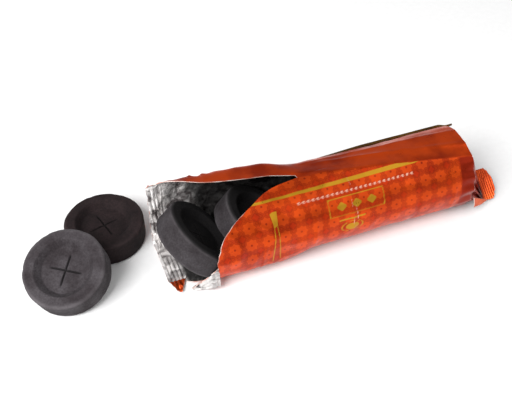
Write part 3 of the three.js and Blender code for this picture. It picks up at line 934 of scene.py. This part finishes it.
    def marks(self, x: Array, angle: Array) -> dict[str, Array]:
        """Distances in millimetres to the edges of what is printed, negative inside.

        Gold: a stripe below the crease, a bar that parts into two legs, a frame with three lozenges
        and an oval. White: a row of short dashes, and painted highlights: broken thin lines along three
        cross creases. The lattice covers the front and the back. Besides, how pressed the bare foil is,
        and its painted shade.

        Args:
            x: place along the sleeve.
            angle: place round the section.

        Returns:
            One array per attribute name.
        """
        x, angle = np.broadcast_arrays(np.asarray(x, float), np.asarray(angle, float))
        s = self.along(angle)
        stripe = box_distance(x, s, (-15, 56.5), (120, 1.3)) - ease(x, -50, 10) * 0.35
        below = np.clip(50.7 - s, 0, 27)
        legs = np.abs(np.abs(x + 41) - 0.35 - 0.06 * below) - 0.28
        tongs = np.maximum(np.where(s > 44, np.abs(x + 41) - 1.8 + 0.12 * (50.7 - s), legs),
                           np.maximum(s - 50.7, 23.7 - s))
        frame_line = np.abs(box_distance(x, s, (1, 44.6), (29, 8.6))) - 0.35
        lozenges = np.minimum.reduce([np.abs(x - at) / 1.2 + np.abs(s - 44.6) - 2.4 for at in (-7, 1, 9)])
        oval = (np.hypot((x + 2) / 6.0, (s - 32.6) / 3.3) - 1) * 3.3
        ring = np.maximum(oval, 0.45 - np.abs(oval + 0.9))
        bar = box_distance(x, s, (-2, 37.4), (14, 0.9))
        gold = np.minimum.reduce([stripe, tongs, frame_line, lozenges, ring, bar])
        dash = np.abs(np.mod(x + 29, 2.5) - 1.25) - 0.7
        white = np.maximum.reduce([dash, np.abs(s - 51.3) - 0.6, np.abs(x - 2) - 31])
        # Painted highlight: broken white lines along three cross creases stand in for glints on the folds.
        for place, lean, _, low, high in self.cross_creases[2:5]:
            off = np.abs(x - place - lean * (s - 30) / 30 + 0.5 * noise(s, x * 0, 3, 22)) - 0.25
            broken = 2.2 - 4 * noise(s, x * 0, 5, 23 + int(low))
            white = np.minimum(white, np.maximum.reduce([off, low + 4 - s, s - high + 2, broken - 1.4]))
        crease = self.along(self.crease_deg(x))
        front = np.where(x > self.peak, crease - s, self.along(self.split_deg) - s)
        return {
            "gold_mm": np.maximum(gold, -front),
            "white_print_and_painted_glint_mm": np.maximum(white, -front),
            "lattice_mm": np.minimum(np.maximum(front, s - self.along(150)), self.closed - 7.5 - x),
            "deep_mm": np.minimum(front, x - self.closed + 7.5),
            "pressed": (x < self.band + 0.3) * ease(angle, 125, 150),
            # Painted shade for the bare side: near-black from past the mouth band deeper in, and on the
            # floor from just past the mouth.
            "dust": 0.94 * np.maximum(
                ease(x + 3 * noise(x, s, 5, 21), self.band + 9, self.band + 21),
                ease(x, self.mouth + 7.5, self.mouth + 10) * ((angle < 0) | (angle > 255))),
        }


@dataclass
class FoilSleeve:
    """The wrapper: sleeve, crimped mouth wall, torn corners, gathered end, strip, fin and flap."""

    film: Film
    printed: Material
    deep: Material
    orange: Material
    olive: Material
    bare: Material
    edge: Material
    columns: int = 232
    rows: int = 172
    corner_deg: float = 196.0

    def printed_piece(self, name: str, x: Array, angle: Array,
                      outer: Material) -> Object:
        """Builds a region of the film and stores the printed marks on it."""
        film = self.film
        piece = film_piece(name, film.face(x, angle), film.thickness, [outer, self.bare, self.edge],
                           film.uv(x, angle))
        for mark, values in film.marks(x, angle).items():
            add_attribute(piece, mark, np.concatenate([values.ravel()] * 2))
        return piece

    def build_sleeve(self) -> None:
        """The long part, from its torn edges to the closed end of the row.

        Rows keep one angle each and run from the torn edge to the closed end; columns are closer
        together by the tear, at 0.4 u + 0.6 u^2 of the way.
        """
        film = self.film
        angle = np.linspace(-90, film.round_trip, self.rows)
        u = np.linspace(0, 1, self.columns)
        left = film.left_edge(angle)
        wall = (angle > 117) & (angle <= self.corner_deg)
        left = np.where(wall, np.maximum(left, film.band), left)
        left = np.where(angle > self.corner_deg, film.mouth, left)
        x = mix(left[:, None], film.closed, (0.4 * u + 0.6 * u * u)[None, :])
        piece = self.printed_piece("foil_sleeve", x, angle[:, None], self.printed)
        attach(piece, "wrapper")
        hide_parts("sleeve_base", "sleeve_front", "sleeve_top", "sleeve_back", "mouth_seal_corner")
        log.info("foil_sleeve rides on wrapper")

    def build_mouth_wall(self) -> None:
        """The crimped band that stands at the back of the mouth, out to its fold line."""
        film = self.film
        angle = np.linspace(121.5, self.corner_deg, 96)
        last = film.wall_deg - 0.1  # the torn lip ends here
        left = np.minimum(film.left_edge(np.minimum(angle, last)), film.band - 0.3)
        left = np.where(angle >= last, film.mouth, left)
        left = left + noise(film.along(angle), 0 * angle, 1.4, 41) * 0.3
        u = np.linspace(0, 1, 44)
        x = mix(left[:, None], film.band, u[None, :])
        piece = self.printed_piece("crimped_mouth_wall", x, angle[:, None], self.printed)
        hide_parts("mouth_seal_back")
        fold = film.smooth(film.band, 160.0) * MM
        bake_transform(piece)
        log.info("crimped_mouth_wall bends from wrapper to mouth_wall")

    def build_tip(self) -> None:
        """Torn point of the floor band, its end folded over so that the print shows.

        Columns run in X across the ribs and narrow to the point; rows run out from the base.
        """
        film = self.film
        low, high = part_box("mouth_tip")
        root, point_y = -film.base / 2 + 0.05, low.y / MM
        u, v = unit_grid(40, 34)
        left = mix(film.mouth, film.mouth + 3.2, v ** 1.4)
        right = mix(high.x / MM, film.mouth + 4.4, v)
        x = mix(left, right, u)
        y = mix(root, point_y, v)
        rib = 0.5 - 0.5 * np.cos(2 * math.pi * (x - film.mouth) / film.crimp_pitch)
        folded = ease(v, 0.1, 0.2)
        z = film.thickness + film.crimp_depth * rib * (1 - 0.75 * folded) + 0.7 * folded
        z += 0.6 * creased(x, y, 2.6, 51) * ease(v, 0.1, 0.5)
        grid = np.stack([x, y, np.maximum(z, film.thickness)], -1)
        printed_end = np.where(v[:-1, :-1] > 0.13, Side.PRINTED.value, Side.BARE.value)
        piece = film_piece("folded_mouth_tip", grid, film.thickness, [self.orange, self.bare, self.edge],
                           outer_side=printed_end, side=-1.0)
        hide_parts("mouth_tip")
        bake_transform(piece)
        log.info("folded_mouth_tip bends from wrapper to tip")

    def build_curl(self) -> None:
        """Crinkled strip that hangs on the low corner of the tear, its bare side turned out.

        Rows run from the root, a line on the film, to a narrow end by the floor; crinkles and a
        roll of sin(pi times the way across) lift it off its straight face.
        """
        film = self.film
        low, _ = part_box("torn_curl")
        root = film.torn + 0.9
        top = film.smooth(root, -6.0) + np.array([0.6, -0.3, 0])
        foot = np.array([root + 1.2, top[1] + 0.9, 3.4])
        u, v = unit_grid(30, 44)
        start = mix(foot, top, u[..., None])
        tip_low = np.array([low.x / MM + 1.5, -15.0, 0.4])
        tip_high = np.array([low.x / MM + 0.9, -14.9, 1.6])
        stop = mix(tip_low, tip_high, u[..., None])
        grid = mix(start, stop, v[..., None])
        rough = creased(grid[..., 0] * 1.4, grid[..., 2] + u * 6, 2.6, 61) * 0.5
        rough += np.abs(np.sin(3 * math.pi * u + 1.2 * v)) * 1.3 + np.sin(math.pi * u) * 0.4
        grid = grid + np.array([0, -0.86, -0.2]) * (rough * ease(v, 0, 0.25) * (1 - 0.4 * v))[..., None]
        grid[..., 2] = np.maximum(grid[..., 2], 0.05)
        bare_out = np.full((grid.shape[0] - 1) * (grid.shape[1] - 1), Side.BARE.value)
        piece = film_piece("torn_curl_strip", grid, film.thickness, [self.deep, self.bare, self.edge],
                           outer_side=bare_out)
        # The "dust" mark here darkens the whole strip evenly, 0.3 of the way to near-black; "pressed" calms
        # its dents.
        for mark, weight in (("pressed", 0.65), ("dust", 0.3)):
            add_attribute(piece, mark, np.full(len(piece.data.vertices), weight))
        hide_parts("torn_curl")
        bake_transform(piece)
        log.info("torn_curl_strip bends from wrapper to curl")

    def build_gathered_end(self) -> None:
        """The wedge that the film is gathered into past the last tablet."""
        film = self.film
        angle = np.linspace(-90, film.round_trip, 300)[:, None]
        x = np.linspace(film.closed, film.closed + film.end_length + 0.4, 44)[None, :]
        piece = self.printed_piece("gathered_end", x, angle, self.deep)
        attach(piece, "wrapper")
        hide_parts("end_gusset_front", "end_top", "end_gusset_back", "end_base")
        log.info("gathered_end rides on wrapper")

    def build_end_strip(self) -> None:
        """Flat crimped strip at the very end: both layers pressed together in fine ribs."""
        film = self.film
        _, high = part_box("end_seal")
        u, v = unit_grid(60, 90)
        start = film.closed + film.end_length - 0.6
        flare = 3.2 * np.sin(math.pi * v) ** 0.8
        x = mix(start, high.x / MM + flare + noise(v * 30, 0 * v, 2.3, 71) * 0.15, u)
        front, back = film.slot(np.array([0.0, 180.0]))
        back = mix(front, back, 0.86)
        tilt = math.radians(film.end_tilt_deg)
        across = np.array([0, -math.sin(tilt), math.cos(tilt)])
        ribs = 0.2 * np.cos(2 * math.pi * (x - start) / 1.3) * ease(u, 0.15, 0.3)
        wave = 0.4 * noise(v * 20, x, 7, 72) * u
        grid = mix(front, back, v[..., None])
        grid[..., 0] = x
        grid = grid + across * (film.thickness + ribs + wave)[..., None]
        both = [self.orange, self.deep, self.edge]
        piece = film_piece("crimped_end_strip", grid, 2 * film.thickness, both)
        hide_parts("end_seal")
        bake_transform(piece)
        log.info("crimped_end_strip bends from wrapper to end_strip")

    def build_fin(self) -> None:
        """Lengthwise seam on the back, folded down flat on the film.

        It stands off the film by a crest near its root that fades out by exp(-share / 0.3), and six
        fine ribs run along it; it goes 2 mm past the CAD fin.
        """
        film = self.film
        low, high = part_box("seam_fin")
        root_deg = 142.0
        at = math.radians(root_deg)
        down, out = np.array([0, math.sin(at), math.cos(at)]), np.array([0, -math.cos(at), math.sin(at)])
        u, v = unit_grid(200, 26)
        x = mix(low.x, high.x + 0.002, u) / MM
        base = film.smooth(np.full_like(x, film.closed), root_deg)
        base[..., 0] = x
        width = 6.0 + 0.3 * noise(x, 0 * x, 5, 81)
        crest = ease(x, low.x / MM, low.x / MM + 40) * (1 - ease(x, film.closed - 1, film.closed + 5))
        stand = 0.5 + 2.2 * crest * ease(v, 0, 0.16) * np.exp(-v / 0.3)
        stand += 0.35 * noise(x, v * 4, 9, 82) * v + 0.12 * np.cos(v * 6 * 2 * math.pi)
        grid = base + down * (v * width)[..., None] + out * stand[..., None]
        piece = film_piece("seam_fin_strip", grid, 0.8, [self.olive, self.olive, self.olive])
        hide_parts("seam_fin")
        middle = film.smooth(0.0, root_deg)
        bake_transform(piece)
        log.info("seam_fin_strip bends from wrapper to fin")

    def build_corner_flap(self) -> None:
        """Loose three-cornered fold by the floor at the closed end, free but for its upper edge.

        Rows run from the free corner to the fold line, which goes from "top" by the row to "far" by
        the slot; a bulge of sin(pi times the way) lifts it forwards.
        """
        film = self.film
        low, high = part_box("end_corner_flap")
        top = np.array([low.x / MM, low.y / MM, high.z / MM]) + np.array([1.2, 0.1, 4.5])
        far = film.slot(0.0) + np.array([0.3, -2.1, 2.8])
        free = np.array([film.closed + 4.8, -film.radius + 1.9, 5.2])
        u, v = unit_grid(34, 34)
        along_fold = mix(top, far, u[..., None])
        narrowed = mix(free + (top - free) * 0.04, free + (far - free) * 0.04, u[..., None])
        grid = mix(narrowed, along_fold, v[..., None])
        bulge = np.sin(math.pi * v) * 0.5 + 0.3 * creased(grid[..., 0], grid[..., 2], 4, 91) * (1 - v)
        grid = grid + np.array([0.1, -0.9, -0.1]) * bulge[..., None]
        grid[..., 2] = np.maximum(grid[..., 2], 0.05)
        piece = film_piece("end_flap", grid, film.thickness, [self.orange, self.bare, self.edge])
        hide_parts("end_corner_flap")
        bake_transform(piece)
        log.info("end_flap bends from wrapper to corner_flap")

    def build(self) -> None:
        """Builds every piece of the wrapper."""
        self.build_sleeve()
        self.build_mouth_wall()
        self.build_tip()
        self.build_curl()
        self.build_gathered_end()
        self.build_end_strip()
        self.build_fin()
        self.build_corner_flap()


# ---- Studio ----


@dataclass
class Studio:
    """White paper floor, a soft key light from the front left, a weak fill and the camera."""

    eye: tuple[float, float, float] = (-141.7, -255.1, 301.0)
    target: tuple[float, float, float] = (-32.0, 31.7, 0.0)
    lens_mm: float = 56.25
    sky: float = 0.42

    def aim(self, thing: Object, place: Vector, target: Vector) -> None:
        """Puts a light or the camera in the scene, in its place and turned to its target."""
        thing.location = place
        thing.rotation_euler = (target - thing.location).to_track_quat("-Z", "Y").to_euler()
        bpy.context.scene.collection.objects.link(thing)

    def light(self, name: str, place: tuple[float, float, float], size: float, watts: float) -> None:
        """Adds a square area light that faces the middle of the object."""
        data = bpy.data.lights.new(name, "AREA")
        data.size, data.energy = size, watts
        self.aim(bpy.data.objects.new(name, data), Vector(place), Vector((-0.03, 0, 0.02)))

    def build(self) -> None:
        """Sets the floor, world, lights and camera."""
        scene = bpy.context.scene
        scene.view_settings.view_transform = "Standard"
        world = bpy.data.worlds.new("studio_air")
        world.use_nodes = True
        feed(world.node_tree.nodes["Background"], {0: (1, 1, 1, 1), 1: self.sky})
        scene.world = world
        half = 3000.0  # millimetres from the middle of the floor to its edge
        corners = np.array([(-half, -half, 0), (half, -half, 0), (half, half, 0), (-half, half, 0)], float)
        floor = add_object("paper_floor", corners, np.array([[0, 1, 2, 3]]),
                           [Paper("white_paper_sweep").make()])
        self.light("key", (-0.75, -0.42, 0.8), 0.7, 18.0)
        self.light("fill", (0.6, -0.6, 0.9), 1.0, 3.0)
        camera = bpy.data.objects.new("camera", bpy.data.cameras.new("camera"))
        camera.data.lens, camera.data.sensor_width = self.lens_mm, 36.0
        camera.data.clip_start, camera.data.clip_end = 0.01, 20.0
        self.aim(camera, Vector(self.eye) * MM, Vector(self.target) * MM)
        scene.camera = camera
        log.info("studio ready")


def main() -> None:
    logging.basicConfig(level=logging.INFO, format="%(name)s: %(message)s")
    Studio().build()
    grey = PressedCharcoal("pressed_grey_charcoal", dark=0x363134, pale=0x4C484B, dust=0x6A6568).make()
    brown = PressedCharcoal("pressed_brown_black_charcoal", dark=0x170F10, pale=0x2B1F20,
                            dust=0x3D3132).make()
    charcoal = {Shade.GREY: grey, Shade.BROWN: brown}
    tablets = [
        Tablet("loose_tablet_back", "back_tablet", Shade.BROWN, turn_deg=15.0),
        Tablet("loose_tablet_front", "front_tablet", Shade.GREY),
        Tablet("toppled_tablet", "toppled", Shade.GREY, painted_shade=0.9),
        Tablet("leaning_tablet", "leaning", Shade.GREY, painted_shade=0.9),
    ]
    tablets += [Tablet(f"stacked_tablet_{n}", f"stacked_{n}", Shade.GREY, painted_shade=0.9) for n in range(1, 7)]
    for number, tablet in enumerate(tablets):
        tablet.build(charcoal[tablet.shade], seed=100 + 10 * number)
    printed = PrintedFoil("star_printed_foil").make()
    orange = PrintedFoil("plain_orange_ink_on_foil", plain=0xD65A26, shadow=0xA83A14, lattice=False).make()
    deep = PrintedFoil("deep_red_ink_on_foil", plain=0x9C2608, shadow=0x581002, lattice=False).make()
    olive = PrintedFoil("olive_brown_ink_on_foil", plain=0x6E4A16, shadow=0x40280C, lattice=False).make()
    bare = BareFoil("crumpled_aluminium_foil").make()
    FoilSleeve(Film(), printed, deep, orange, olive, bare, TornEdge("torn_laminate_edge").make()).build()


if __name__ == "__main__":
    main()
